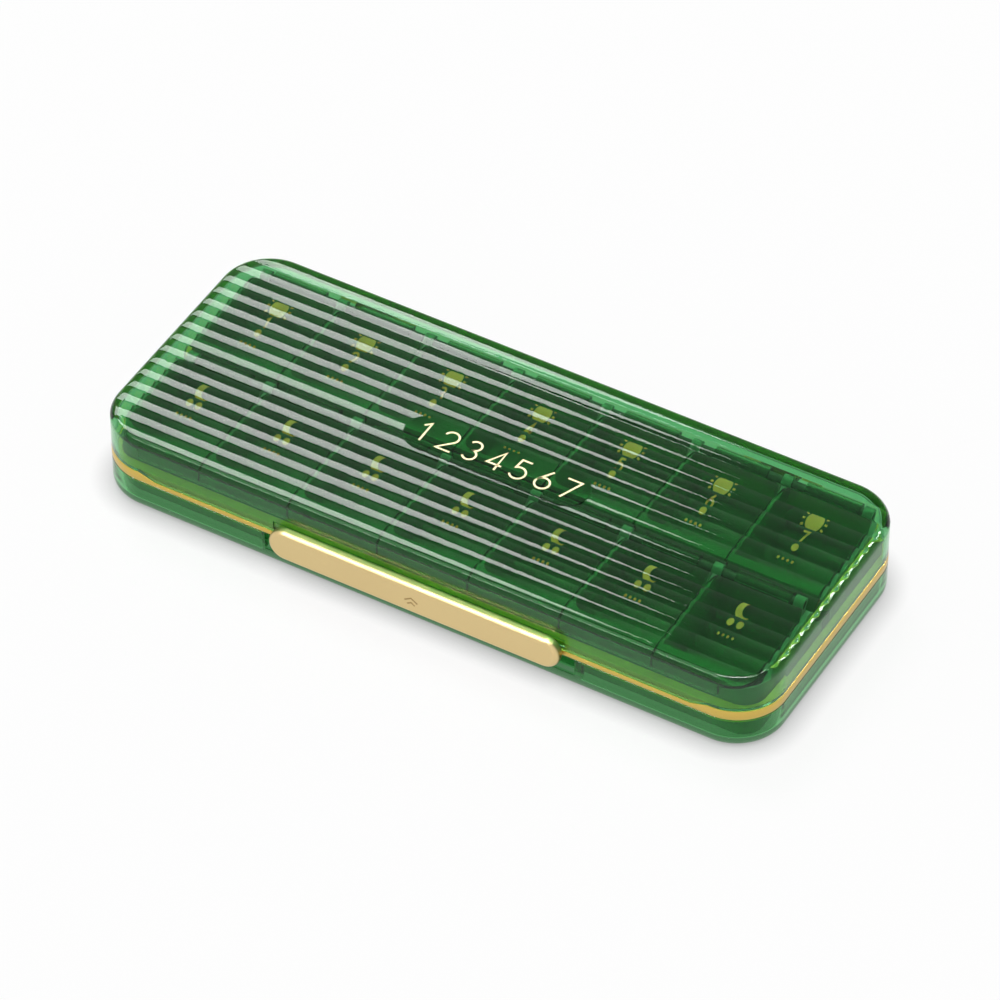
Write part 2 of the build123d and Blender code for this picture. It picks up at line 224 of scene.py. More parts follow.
def satin_group():
    """Grain of a blasted and plated surface: fine noise for height, a wide cloud for tone and gloss."""
    outputs = [("Height", "NodeSocketFloat"), ("Tone", "NodeSocketFloat"), ("Roughness", "NodeSocketFloat")]
    inputs = [("Grain Scale", 4000.0), ("Low", 0.25), ("High", 0.35)]
    group, entry, leave = new_group("satin_grain", outputs, inputs)
    nodes, links = group.nodes, group.links
    where = nodes.new("ShaderNodeTexCoord")
    grain = nodes.new("ShaderNodeTexNoise")
    grain.inputs["Detail"].default_value = 2.0
    links.new(where.outputs["Object"], grain.inputs["Vector"])
    links.new(entry.outputs["Grain Scale"], grain.inputs["Scale"])
    cloud = nodes.new("ShaderNodeTexNoise")
    cloud.inputs["Scale"].default_value = 45.0
    cloud.inputs["Detail"].default_value = 2.0
    links.new(where.outputs["Object"], cloud.inputs["Vector"])
    span = nodes.new("ShaderNodeMapRange")
    links.new(cloud.outputs["Fac"], span.inputs["Value"])
    links.new(entry.outputs["Low"], span.inputs["To Min"])
    links.new(entry.outputs["High"], span.inputs["To Max"])
    links.new(grain.outputs["Fac"], leave.inputs["Height"])
    links.new(cloud.outputs["Fac"], leave.inputs["Tone"])
    links.new(span.outputs["Result"], leave.inputs["Roughness"])
    return group


mould_ripple = ripple_group()
satin_grain = satin_group()
print("node groups", mould_ripple.name, satin_grain.name)


# %% Finish makers
PLASTIC_IOR = 1.55
SLOW_RIPPLE = (60.0, 0.000008)
FAINT_RIPPLE = (60.0, 0.0000008)
METAL_GRAIN = (4000.0, 0.00002)
INK_GRAIN = (2500.0, 0.00001)
GRAIN_STRENGTH = 0.5


def clear_plastic(name, tint, absorb, density, gloss, shade, cloud=0.0, ripple=SLOW_RIPPLE, mirror=0.45):
    """Clear tinted plastic: a transmissive surface, an absorbing body and tinted shadows."""
    material = bpy.data.materials.new(name)
    material.use_nodes = True
    tree = material.node_tree
    nodes, links = tree.nodes, tree.links
    surface = nodes["Principled BSDF"]
    output = nodes["Material Output"]
    surface.inputs["Base Color"].default_value = (*tint, 1)
    surface.inputs["IOR"].default_value = PLASTIC_IOR
    surface.inputs["Specular Tint"].default_value = (mirror, mirror, mirror, 1)
    surface.inputs["Transmission Weight"].default_value = 1.0 - cloud
    skin = nodes.new("ShaderNodeGroup")
    skin.node_tree = mould_ripple
    skin.inputs["Ripple Scale"].default_value = ripple[0]
    skin.inputs["Low"].default_value = gloss[0]
    skin.inputs["High"].default_value = gloss[1]
    links.new(skin.outputs["Roughness"], surface.inputs["Roughness"])
    bump = nodes.new("ShaderNodeBump")
    bump.inputs["Strength"].default_value = 1.0
    bump.inputs["Distance"].default_value = ripple[1]
    links.new(skin.outputs["Height"], bump.inputs["Height"])
    links.new(bump.outputs["Normal"], surface.inputs["Normal"])
    body = nodes.new("ShaderNodeVolumeAbsorption")
    body.inputs["Color"].default_value = (*absorb, 1)
    body.inputs["Density"].default_value = density
    path = nodes.new("ShaderNodeLightPath")
    through = nodes.new("ShaderNodeBsdfTransparent")
    through.inputs["Color"].default_value = (*shade, 1)
    either = nodes.new("ShaderNodeMixShader")
    links.new(path.outputs["Is Shadow Ray"], either.inputs[0])
    links.new(surface.outputs["BSDF"], either.inputs[1])
    links.new(through.outputs["BSDF"], either.inputs[2])
    links.new(either.outputs["Shader"], output.inputs["Surface"])
    links.new(body.outputs["Volume"], output.inputs["Volume"])
    return material


def satin_metal(name, dark, light, gloss, grain=METAL_GRAIN, metallic=1.0):
    """Metal or metallic plating whose tone drifts between two colours, with a fine grain."""
    material = bpy.data.materials.new(name)
    material.use_nodes = True
    nodes, links = material.node_tree.nodes, material.node_tree.links
    surface = nodes["Principled BSDF"]
    surface.inputs["Metallic"].default_value = metallic
    skin = nodes.new("ShaderNodeGroup")
    skin.node_tree = satin_grain
    skin.inputs["Grain Scale"].default_value = grain[0]
    skin.inputs["Low"].default_value = gloss[0]
    skin.inputs["High"].default_value = gloss[1]
    tone = nodes.new("ShaderNodeMix")
    tone.data_type = "RGBA"
    tone.inputs["A"].default_value = (*dark, 1)
    tone.inputs["B"].default_value = (*light, 1)
    links.new(skin.outputs["Tone"], tone.inputs["Factor"])
    links.new(tone.outputs["Result"], surface.inputs["Base Color"])
    links.new(skin.outputs["Roughness"], surface.inputs["Roughness"])
    bump = nodes.new("ShaderNodeBump")
    bump.inputs["Strength"].default_value = GRAIN_STRENGTH
    bump.inputs["Distance"].default_value = grain[1]
    links.new(skin.outputs["Height"], bump.inputs["Height"])
    links.new(bump.outputs["Normal"], surface.inputs["Normal"])
    return material


def print_ink(name, dark, light, metallic, gloss):
    """Foil or ink whose tone drifts a little, as a hand-set print does."""
    return satin_metal(name, dark, light, gloss, INK_GRAIN, metallic)


# %% The finishes of this box
SHADE = (0.83, 0.87, 0.84)
CASE_SHADE = (1.0, 0.96, 1.0)
TRAY_SHADE = (0.50, 0.56, 0.51)
POLISHED = (0.0, 0.02)
case_green = clear_plastic(
    "case_green",
    tint=(0.65, 0.88, 0.73),
    absorb=(0.20, 0.66, 0.30),
    density=400.0,
    gloss=POLISHED,
    shade=CASE_SHADE,
    ripple=FAINT_RIPPLE,
)
base_green = clear_plastic(
    "base_green",
    tint=(0.38, 0.84, 0.46),
    absorb=(0.22, 0.66, 0.28),
    density=260.0,
    gloss=POLISHED,
    shade=SHADE,
    ripple=FAINT_RIPPLE,
    mirror=0.25,
)
tray_green = clear_plastic(
    "tray_green",
    tint=(0.19, 0.40, 0.25),
    absorb=(0.20, 0.70, 0.30),
    density=60.0,
    gloss=(0.36, 0.46),
    shade=TRAY_SHADE,
    cloud=0.5,
    mirror=0.25,
)
cell_lid_green = clear_plastic(
    "cell_lid_green",
    tint=(0.46, 0.75, 0.52),
    absorb=(0.20, 0.70, 0.30),
    density=120.0,
    gloss=(0.02, 0.05),
    shade=SHADE,
)
frame_gold = satin_metal("frame_gold", (0.76, 0.51, 0.09), (0.84, 0.59, 0.12), (0.26, 0.34), metallic=0.45)
latch_champagne = satin_metal("latch_champagne", (0.66, 0.50, 0.24), (0.71, 0.55, 0.27), (0.30, 0.36))
pin_steel = satin_metal("pin_steel", (0.06, 0.08, 0.06), (0.09, 0.11, 0.09), (0.40, 0.50))
print_gold = print_ink("print_gold", (0.96, 0.26, 0.01), (1.0, 0.31, 0.01), 0.0, (0.45, 0.55))
plaque_gold = print_ink("plaque_gold", (0.90, 0.74, 0.42), (0.98, 0.82, 0.50), 0.3, (0.3, 0.4))
latch_mark = print_ink("latch_mark", (0.36, 0.24, 0.09), (0.44, 0.30, 0.12), 0.8, (0.3, 0.4))
print("finishes", len(bpy.data.materials))

# %% [markdown]
# ## The case's outline as a loop of stations
#
# Lid, base and gilt ring share one rounded outline. Each station on it has a point on an inner
# rectangle and an outward direction, so the outline at any inset is that point plus the direction times
# what is left of the corner radius. The same stations also give rows of points straight across the case,
# which close the top and the floor without a pole.


# %% Outline stations
def outline_stations(front_x, side_y, corner_deg, half_x, half_y):
    """Bases and outward directions round a rounded rectangle, from front left, counter-clockwise.

    front_x are places along the front edge, side_y places along the right edge between the corners,
    corner_deg the turns (0 to 90, both left out) at which a corner is sampled.
    """
    front_x, side_y = np.asarray(front_x, float), np.asarray(side_y, float)
    turn = np.radians(np.asarray(corner_deg, float))
    first = np.stack([np.sin(turn), -np.cos(turn)], axis=-1)
    second = np.stack([np.cos(turn), np.sin(turn)], axis=-1)
    ones = np.ones_like
    right_base = np.concatenate(
        [
            np.stack([half_x * ones(turn), -half_y * ones(turn)], axis=-1),
            np.stack([half_x * ones(side_y), side_y], axis=-1),
            np.stack([half_x * ones(turn), half_y * ones(turn)], axis=-1),
        ]
    )
    right_out = np.concatenate([first, np.stack([ones(side_y), 0 * side_y], axis=-1), second])
    mirror = np.array([-1.0, 1.0])
    front_base = np.stack([front_x, -half_y * ones(front_x)], axis=-1)
    front_out = np.stack([0 * front_x, -ones(front_x)], axis=-1)
    rear_base = np.stack([front_x[::-1], half_y * ones(front_x)], axis=-1)
    base = np.concatenate([front_base, right_base, rear_base, right_base[::-1] * mirror])
    out = np.concatenate([front_out, right_out, -front_out, right_out[::-1] * mirror])
    return base, out, len(front_x), len(right_base)


def loop_rows(n_front, n_side):
    """Station numbers at the left and right end of each row across the case, front to rear."""
    right = np.arange(n_front, n_front + n_side)
    left = np.arange(2 * n_front + 2 * n_side - 1, 2 * n_front + n_side - 1, -1)
    return left, right


def rows_across(loop, n_front, n_side):
    """Rows of points straight across inside a loop, front edge first and rear edge last.

    A row keeps the front edge's places along X and stretches only to its own two end points.
    """
    left, right = loop_rows(n_front, n_side)
    front = loop[:n_front]
    rear = loop[n_front + n_side : 2 * n_front + n_side][::-1]
    inner = np.repeat(loop[right][:, None], n_front, axis=1)
    inner[:, :, 0] = front[None, :, 0]
    inner[:, 0] = loop[left]
    inner[:, -1] = loop[right]
    return np.concatenate([front[None], inner, rear[None]])


def reed_height(y):
    """Height of the ribbed top: arcs of one radius side by side, with a crest in the middle."""
    off = y - REED_PITCH * np.round(y / REED_PITCH)
    return REED_CREST - reed_radius + np.sqrt(reed_radius**2 - off**2)


def soft_lower(a, b, blend=0.04):
    """The lower of two heights, with the crease between them rounded off."""
    return -blend * np.logaddexp(-a / blend, -b / blend)


# %% [markdown]
# ## The lid
#
# The lid is one closed shell: a field of ribs with a smooth plaque, a rounded edge, a wall that dips over
# the front of the ring, a rim and a plain inside. It could be cut from a block with booleans, but a grid
# whose rows follow the ribs gives clean highlights along each of them. The rows are set at the crests and
# valleys, and the columns bend round the plaque.

# %% Lid stations
PLAQUE_HALF = 18.2
PLAQUE_RADIUS = 5.8
PLAQUE_EASE = 0.14
GROOVE_HALF = 38.2
DIP_FLAT = 70.0
DIP_END = 74.5
FIELD_INSET = 2.2
PLAQUE_LIFT = 0.1
PLAQUE_STEP = 0.02
WALL_LEVELS = [18.0, 16.0, 14.4]
LOW_LEVEL = 10.6
quarter = np.radians(np.arange(5, 90, 5))
side_rows = np.concatenate(
    [
        np.arange(-60, 61) * REED_PITCH / 12,
        PLAQUE_RADIUS * np.sin(quarter),
        -PLAQUE_RADIUS * np.sin(quarter),
        [PLAQUE_RADIUS, PLAQUE_RADIUS, PLAQUE_RADIUS - PLAQUE_EASE],
        [-PLAQUE_RADIUS, -PLAQUE_RADIUS, PLAQUE_EASE - PLAQUE_RADIUS],
        [-straight_y, straight_y],
    ]
)
side_rows = np.sort(side_rows[np.abs(side_rows) <= straight_y + 1e-9])
reed_marks = np.arange(1, 16) * REED_PITCH / 2
reed_marks = reed_marks[(reed_marks > straight_y) & (reed_marks < HALF_WIDTH - FIELD_INSET)]
mark_turns = np.degrees(np.arcsin((reed_marks - straight_y) / (CORNER - FIELD_INSET)))
corner_turns = np.unique(np.round(np.concatenate([np.arange(2.0, 90, 2.0), 90 - mark_turns]), 4))
outer_part = np.array([GROOVE_HALF, GROOVE_HALF, DIP_FLAT, DIP_END, straight_x])
plaque_part = np.array([PLAQUE_HALF, PLAQUE_HALF, PLAQUE_HALF - PLAQUE_EASE, PLAQUE_HALF * 0.5])
lid_half_x = np.concatenate([outer_part[::-1], plaque_part])
lid_front_x = np.concatenate([-lid_half_x, [0.0], lid_half_x[::-1]])
lid_base, lid_out, lid_nf, lid_ns = outline_stations(
    lid_front_x, side_rows, corner_turns, straight_x, straight_y
)
print("lid stations", len(lid_base))


# %% Lid surface
def ring(inset, z, base=lid_base, out=lid_out):
    """One loop of points at an inset from the outline, at a height or heights."""
    xy = base + out * (CORNER - inset)
    return np.concatenate([xy, np.broadcast_to(z, (len(xy),))[:, None]], axis=1)


def lid_field(z_flat=None):
    """Rows across the lid inside the rounded edge: ribs and plaque, or a flat ceiling at z_flat."""
    inset = FIELD_INSET if z_flat is None else WALL + CEILING_ROUND
    edge = lid_base + lid_out * (CORNER - inset)
    right = loop_rows(lid_nf, lid_ns)[1]
    y = np.concatenate([[edge[0, 1]], edge[right][:, 1], [-edge[0, 1]]])[:, None]
    reach = np.concatenate([[straight_x], edge[right][:, 0], [straight_x]])[:, None]
    plaque = PLAQUE_HALF + np.sqrt(np.maximum(PLAQUE_RADIUS**2 - y**2, 0))
    eased = PLAQUE_HALF - PLAQUE_EASE * (np.abs(y) > PLAQUE_RADIUS - PLAQUE_EASE)
    eased = eased + np.sqrt(np.maximum((PLAQUE_RADIUS - PLAQUE_EASE) ** 2 - y**2, 0))
    eased = np.minimum(eased, plaque - PLAQUE_STEP)
    share = ((lid_half_x[: len(outer_part)] - PLAQUE_HALF) / (straight_x - PLAQUE_HALF))[None]
    outer = plaque + (reach - plaque) * share
    inner = np.concatenate([plaque, plaque, eased, eased * 0.5], axis=1)
    half = np.concatenate([outer, inner], axis=1)
    x = np.concatenate([-half, 0 * y, half[:, ::-1]], axis=1)
    y = np.broadcast_to(y, x.shape)
    if z_flat is not None:
        return np.stack([x, y, np.full_like(x, z_flat)], axis=-1)
    depth = PLAQUE_RADIUS - np.hypot(np.maximum(np.abs(x) - PLAQUE_HALF, 0), y)
    z = reed_height(y)
    raised = LID_TOP - PLAQUE_LIFT * (1 - np.clip(depth / PLAQUE_EASE, 0, 1))
    column = np.arange(x.shape[1])
    first = len(outer_part) + 1
    inside = (column >= first) & (column <= x.shape[1] - 1 - first)
    row_in = plaque_rows(y[:, 0])
    z = np.where(inside[None] & row_in[:, None], raised, z)
    return np.stack([x, y, z], axis=-1)


def plaque_rows(y):
    """Rows that carry the plaque: the inner one of each pair of equal rows at its edges, and all between."""
    near = np.abs(np.abs(y) - PLAQUE_RADIUS) < 1e-9
    inside = np.abs(y) < PLAQUE_RADIUS - 1e-9
    pairs = np.flatnonzero(near)
    inside[pairs[1]] = True
    inside[pairs[2]] = True
    return inside


field = lid_field()
roof = lid_field(CEILING)
turn = np.radians(np.linspace(90, 0, 15))
lid_x = lid_base[:, 0]
on_front = (np.arange(len(lid_base)) < lid_nf).astype(float)
rim_drop = np.clip((DIP_END - np.abs(lid_x)) / (DIP_END - DIP_FLAT), 0, 1)
rim_z = LID_RIM - (LID_RIM - LID_DIP) * rim_drop * on_front
rings = []
for t in turn:
    edge = ring(TOP_ROUND * (1 - cos(t)), 0.0)
    edge[:, 2] = soft_lower(reed_height(edge[:, 1]), np.full(len(edge), LID_TOP - TOP_ROUND * (1 - sin(t))))
    rings.append(edge)
GROOVE_RADIUS = 1.86
PIVOT_Y = -36.9
PIVOT_Z = 12.3
groove_x = np.abs(lid_x) <= GROOVE_HALF + 1e-9
outside_copy = np.zeros(len(lid_base), bool)
left_pair = np.flatnonzero(np.isclose(lid_x[:lid_nf], -GROOVE_HALF))
right_pair = np.flatnonzero(np.isclose(lid_x[:lid_nf], GROOVE_HALF))
outside_copy[[left_pair[0], right_pair[-1]]] = True
in_groove = groove_x & (on_front > 0) & ~outside_copy
groove_top = PIVOT_Z + np.sqrt(GROOVE_RADIUS**2 - (HALF_WIDTH + PIVOT_Y) ** 2)
groove_levels = np.linspace(groove_top, 2 * PIVOT_Z - groove_top, 13)
for level in np.concatenate([WALL_LEVELS, groove_levels, [LOW_LEVEL, LID_DIP + RIM_EASE]]):
    edge = ring(0.0, np.maximum(level, rim_z + RIM_EASE))
    cut = np.sqrt(np.maximum(GROOVE_RADIUS**2 - (edge[:, 2] - PIVOT_Z) ** 2, 0)) + PIVOT_Y + HALF_WIDTH
    edge[:, 1] += np.where(in_groove, np.maximum(cut, 0), 0)
    rings.append(edge)
rings += [ring(RIM_EASE, rim_z), ring(WALL - RIM_EASE, rim_z)]
rings += [ring(WALL, rim_z + RIM_EASE), ring(WALL, CEILING - CEILING_ROUND)]
for t in np.radians(np.linspace(15, 90, 6)):
    inward = CEILING_ROUND * (1 - cos(t))
    rings.append(ring(WALL + inward, CEILING - CEILING_ROUND * (1 - sin(t))))


def shell_mesh(top_rows, loops, bottom_rows, n_front, n_side):
    """Points and faces of a closed shell: rows across, loops round, rows across again.

    The rims of the two fields of rows are joined to the first and last loop by their places.
    """
    count = len(loops[0])
    left, right = loop_rows(n_front, n_side)

    def rim_numbers(rows):
        number = np.arange(rows.shape[0] * rows.shape[1]).reshape(rows.shape[:2])
        rim = np.empty(count, int)
        rim[:n_front] = number[0]
        rim[right] = number[1:-1, -1]
        rim[n_front + n_side : 2 * n_front + n_side] = number[-1, ::-1]
        rim[left] = number[1:-1, 0]
        return number, rim

    top_number, top_rim = rim_numbers(top_rows)
    bottom_number, bottom_rim = rim_numbers(bottom_rows)
    start = top_number.size
    loop_number = start + np.arange(len(loops) * count).reshape(len(loops), count)
    bottom_start = start + loop_number.size
    around = np.concatenate([top_rim[None], loop_number, bottom_start + bottom_rim[None]])
    points = np.concatenate([top_rows.reshape(-1, 3), np.concatenate(loops), bottom_rows.reshape(-1, 3)])
    faces = np.concatenate(
        [grid_faces(top_number), grid_faces(around, closed=True), grid_faces(bottom_start + bottom_number)]
    )
    return points, faces


points, faces = shell_mesh(field, rings, roof, lid_nf, lid_ns)
lid = put_piece("ribbed_lid", points, faces, case_green, "case_lid", ["lid_shell"])


def crease_valleys(mesh):
    """Marks the edges along the valleys between ribs as sharp, so that light breaks there in a line."""
    spot = np.empty(len(mesh.vertices) * 3)
    mesh.vertices.foreach_get("co", spot)
    y, z = spot.reshape(-1, 3)[:, 1:].T / MM
    low = REED_CREST - REED_RISE
    in_valley = (np.abs(np.abs(y / REED_PITCH) % 1 - 0.5) < 1e-3) & (np.abs(z - low) < 1e-3)
    pair = np.empty(len(mesh.edges) * 2, np.int32)
    mesh.edges.foreach_get("vertices", pair)
    sharp = np.empty(len(mesh.edges), bool)
    mesh.edges.foreach_get("use_edge_sharp", sharp)
    mesh.edges.foreach_set("use_edge_sharp", sharp | in_valley[pair.reshape(-1, 2)].all(axis=1))
    print("valley edges", int(in_valley[pair.reshape(-1, 2)].all(axis=1).sum()))


crease_valleys(lid.data)

# %% [markdown]
# ## The base
#
# The base is a shallow tub with a rounded bottom edge. Its front wall steps in behind the latch, which
# leaves a bay for a fingertip, and the step shows inside as a low housing. The loops are the lid's, turned
# over; in the bay and the housing the stations move straight back.

# %% Base
BAY_HALF = 40.6
BAY_FLOOR = 3.6
BAY_BACK = -33.4
HOUSING_HALF = 41.8
HOUSING_BACK = -32.2
BOTTOM_ROUND = 2.4
FLOOR = 1.6
FLOOR_ROUND = 1.0
EASE = 0.1
tub_half_x = np.array([straight_x, HOUSING_HALF, HOUSING_HALF, BAY_HALF, BAY_HALF, MIDDLE_STATION])
tub_front_x = np.concatenate([-tub_half_x, [0.0], tub_half_x[::-1]])
tub_base, tub_out, tub_nf, tub_ns = outline_stations(
    tub_front_x, [-straight_y, 0.0, straight_y], CORNER_TURNS, straight_x, straight_y
)


def pocket(base, n_front, half):
    """Stations of the front edge within a pocket; of each pair at its ends, the inner one counts."""
    x = base[:, 0]
    inside = (np.arange(len(base)) < n_front) & (np.abs(x) <= half + 1e-9)
    ends = np.flatnonzero(inside & np.isclose(np.abs(x), half))
    inside[[ends[0], ends[-1]]] = False
    return inside


in_bay = pocket(tub_base, tub_nf, BAY_HALF)
in_housing = pocket(tub_base, tub_nf, HOUSING_HALF)


def tub_ring(inset, z, pocket_at=None, back=0.0):
    """A loop of the base's outline, with the stations of a pocket moved to a given depth."""
    loop = ring(inset, z, tub_base, tub_out)
    if pocket_at is not None:
        loop[pocket_at, 1] = back
    return loop


tub_rings = []
for t in np.radians(np.linspace(9, 90, 10)):
    tub_rings.append(tub_ring(BOTTOM_ROUND * (1 - sin(t)), BOTTOM_ROUND * (1 - cos(t))))
tub_rings.append(tub_ring(0.0, BAY_FLOOR))
tub_rings.append(tub_ring(0.0, BAY_FLOOR, in_bay, BAY_BACK))
tub_rings.append(tub_ring(0.0, FRAME_BOTTOM - EASE, in_bay, BAY_BACK))
tub_rings.append(tub_ring(EASE, FRAME_BOTTOM, in_bay, BAY_BACK + EASE))
tub_rings.append(tub_ring(WALL - EASE, FRAME_BOTTOM, in_housing, HOUSING_BACK - EASE))
tub_rings.append(tub_ring(WALL, FRAME_BOTTOM - EASE, in_housing, HOUSING_BACK))
for t in np.radians(np.linspace(0, 90, 7)):
    inward = FLOOR_ROUND * (1 - cos(t))
    height = FLOOR + FLOOR_ROUND * (1 - sin(t))
    tub_rings.append(tub_ring(WALL + inward, height, in_housing, HOUSING_BACK + inward))
underside = rows_across(tub_ring(BOTTOM_ROUND, 0.0), tub_nf, tub_ns)
tub_floor = rows_across(tub_rings[-1], tub_nf, tub_ns)
housing_line = HOUSING_BACK + FLOOR_ROUND
tub_floor[:, in_housing[:tub_nf], 1] = np.maximum(tub_floor[:, in_housing[:tub_nf], 1], housing_line)
points, faces = shell_mesh(underside, tub_rings, tub_floor, tub_nf, tub_ns)
put_piece("base_tub", points, faces, base_green, "base", ["base_shell"])

# %% [markdown]
# ## The gilt ring
#
# The ring is a closed section carried round the outline: a band outside, a flange round the strips of
# cells inside and a spigot down into the base. Along the front its upper half is cut away for the lid's
# lip, so the band there is a thin line that widens near the corners.

# %% Gilt ring
SKIRT = 2.8
SPIGOT_INSET = 1.85
SPIGOT_BOTTOM = 7.2
FLANGE_BOTTOM = 10.2
STEP_INSET = 1.95
DIP_Z = 10.05
RAMP_START = 70.15
RAMP_END = 74.24
BAY_CLEAR = 41.95
OPENING_X = 83.625
OPENING_Y = 31.05
OPENING_CORNER = 5.25
BAND_EASE = 0.18
BAND_BOW = BAND_EASE * 0.3
gilt_half_x = np.array([straight_x, RAMP_END, RAMP_START, BAY_CLEAR, BAY_CLEAR, MIDDLE_STATION])
gilt_front_x = np.concatenate([-gilt_half_x, [0.0], gilt_half_x[::-1]])
gilt_base, gilt_out, gilt_nf, _ = outline_stations(
    gilt_front_x, [-straight_y, 0.0, straight_y], CORNER_TURNS, straight_x, straight_y
)
gilt_front = np.arange(len(gilt_base)) < gilt_nf
rise = np.clip((np.abs(gilt_base[:, 0]) - RAMP_START) / (RAMP_END - RAMP_START), 0, 1)
band_top = np.where(gilt_front, DIP_Z + (FRAME_TOP - DIP_Z) * rise, FRAME_TOP)
spigot = np.where(pocket(gilt_base, gilt_nf, BAY_CLEAR), FRAME_BOTTOM, SPIGOT_BOTTOM)
scale = np.array([(OPENING_X - OPENING_CORNER) / straight_x, (OPENING_Y - OPENING_CORNER) / straight_y])
opening_xy = gilt_base * scale + gilt_out * OPENING_CORNER


def opening_ring(z):
    """The opening round the strips of cells, at a height."""
    return np.concatenate([opening_xy, np.full((len(opening_xy), 1), z)], axis=1)


def gilt_ring(inset, z):
    """A loop of the gilt ring at an inset and a height or heights."""
    return ring(inset, z, gilt_base, gilt_out)


section = [
    gilt_ring(BAND_EASE, FRAME_BOTTOM),
    gilt_ring(BAND_BOW, FRAME_BOTTOM + BAND_BOW),
    gilt_ring(0.0, FRAME_BOTTOM + BAND_EASE),
    gilt_ring(0.0, band_top - BAND_EASE),
    gilt_ring(BAND_BOW, band_top - BAND_BOW),
    gilt_ring(BAND_EASE, band_top),
    gilt_ring(STEP_INSET, band_top),
    gilt_ring(STEP_INSET, FRAME_TOP),
    opening_ring(FRAME_TOP),
    opening_ring(FLANGE_BOTTOM),
    gilt_ring(SKIRT, FLANGE_BOTTOM),
    gilt_ring(SKIRT, spigot),
    gilt_ring(SPIGOT_INSET, spigot),
    gilt_ring(SPIGOT_INSET, FRAME_BOTTOM),
]
section.append(section[0])
number = np.arange(len(section) * len(gilt_base)).reshape(len(section), -1)
faces = grid_faces(number, closed=True)
put_piece("gilt_ring", np.concatenate(section), faces, frame_gold, "base", ["mid_frame"])

# %% [markdown]
# ## Knuckles and lugs
#
# The hinge and the latch turn on small blocks of one outline. An outline in the upright plane is carried
# along X and closed at both ends, and a live bevel takes the edge off.


# %% Blocks of one outline
BEVEL_ANGLE = radians(40)


def blocks(outline, spans):
    """Points and faces of an outline (y, z) carried along X over each span, with both ends closed."""
    outline = np.asarray(outline, float)
    count = len(outline)
    points, faces = [], []
    for low, high in spans:
        start = sum(len(p) for p in points)
        near = np.concatenate([np.full((count, 1), low), outline], axis=1)
        far = np.concatenate([np.full((count, 1), high), outline], axis=1)
        points += [near, far]
        number = start + np.arange(2 * count).reshape(2, count)
        faces += grid_faces(number, closed=True).tolist()
        faces += [number[0].tolist(), number[1, ::-1].tolist()]
    return np.concatenate(points), faces


def arc_points(centre, radius, start_deg, end_deg, count):
    """Points on an arc, by the cosine and sine of evenly spaced turns."""
    turns = np.radians(np.linspace(start_deg, end_deg, count))
    return np.stack([centre[0] + radius * np.cos(turns), centre[1] + radius * np.sin(turns)], axis=-1)


def ease_edges(piece, width, segments=2):
    """A live bevel that rounds a piece's sharp edges by a width in millimetres."""
    bevel = piece.modifiers.new("ease", "BEVEL")
    bevel.width = width * MM
    bevel.segments = segments
    bevel.limit_method = "ANGLE"
    bevel.angle_limit = BEVEL_ANGLE


# %% Hinge knuckles
HINGE_Y = 36.1
HINGE_Z = 10.05
KNUCKLE_RADIUS = 1.35
KNUCKLE_EASE = 0.12
KNUCKLE_SINK = 0.3
FRAME_KNUCKLES = ((-10.0, -5.0), (5.0, 10.0))
LID_KNUCKLE_HALF = 4.8
ARM_END = 14.55
ARM_SINK = 0.02
ARM_LIP = 0.15
hinge_middles = (-54.0, 54.0)
frame_outline = np.concatenate(
    [
        arc_points((HINGE_Y, HINGE_Z), KNUCKLE_RADIUS, -90, 90, 25),
        [(HALF_WIDTH - KNUCKLE_SINK, HINGE_Z + KNUCKLE_RADIUS)],
        [(HALF_WIDTH - KNUCKLE_SINK, HINGE_Z - KNUCKLE_RADIUS)],
    ]
)
frame_spans = [(m + a, m + b) for m in hinge_middles for a, b in FRAME_KNUCKLES]
points, faces = blocks(frame_outline, frame_spans)
knuckles = put_piece("ring_knuckles", points, faces, frame_gold, "base")
ease_edges(knuckles, KNUCKLE_EASE)
lid_outline = np.concatenate(
    [
        [(HALF_WIDTH - ARM_SINK, LID_RIM + ARM_SINK), (HALF_WIDTH + ARM_LIP, LID_RIM)],
        arc_points((HINGE_Y, HINGE_Z), KNUCKLE_RADIUS, 125, 360, 30),
        [(HALF_WIDTH - ARM_SINK, ARM_END)],
    ]
)
lid_spans = [(m - LID_KNUCKLE_HALF, m + LID_KNUCKLE_HALF) for m in hinge_middles]
points, faces = blocks(lid_outline, lid_spans)
lid_knuckles = put_piece("lid_knuckles", points, faces, case_green, "case_lid")
ease_edges(lid_knuckles, KNUCKLE_EASE)

# %% Latch lugs
LUG_RADIUS = 0.95
LUG_NECK = 0.5
LUG_FOOT = 10.5
LUG_SHOULDER = 11.44
LUG_HALF = 1.5
LUG_SINK = 0.02
LUG_EASE = 0.08
lug_places = (-27.0, -9.0, 9.0, 27.0)
lug_outline = np.concatenate(
    [
        [(-HALF_WIDTH + LUG_SINK, LUG_FOOT), (-HALF_WIDTH + LUG_SINK, LUG_SHOULDER)],
        [(PIVOT_Y + LUG_NECK, LUG_SHOULDER)],
        arc_points((PIVOT_Y, PIVOT_Z), LUG_RADIUS, -58, 238, 30),
        [(PIVOT_Y - LUG_NECK, LUG_FOOT)],
    ]
)
points, faces = blocks(lug_outline, [(m - LUG_HALF, m + LUG_HALF) for m in lug_places])
lugs = put_piece("latch_lugs", points, faces, case_green, "case_lid")
ease_edges(lugs, LUG_EASE)

# %% [markdown]
# ## The latch
#
# The latch is a bar with round ends, softly rounded in front, slotted behind for the lugs and with a hook
# that reaches under the ring. Its solid has all of that, so it is one of the smoothed copies below.

# %% Latch sizes
LATCH_MIDDLE = 9.8
LATCH_FRONT = -38.55
print("latch front at", LATCH_FRONT)

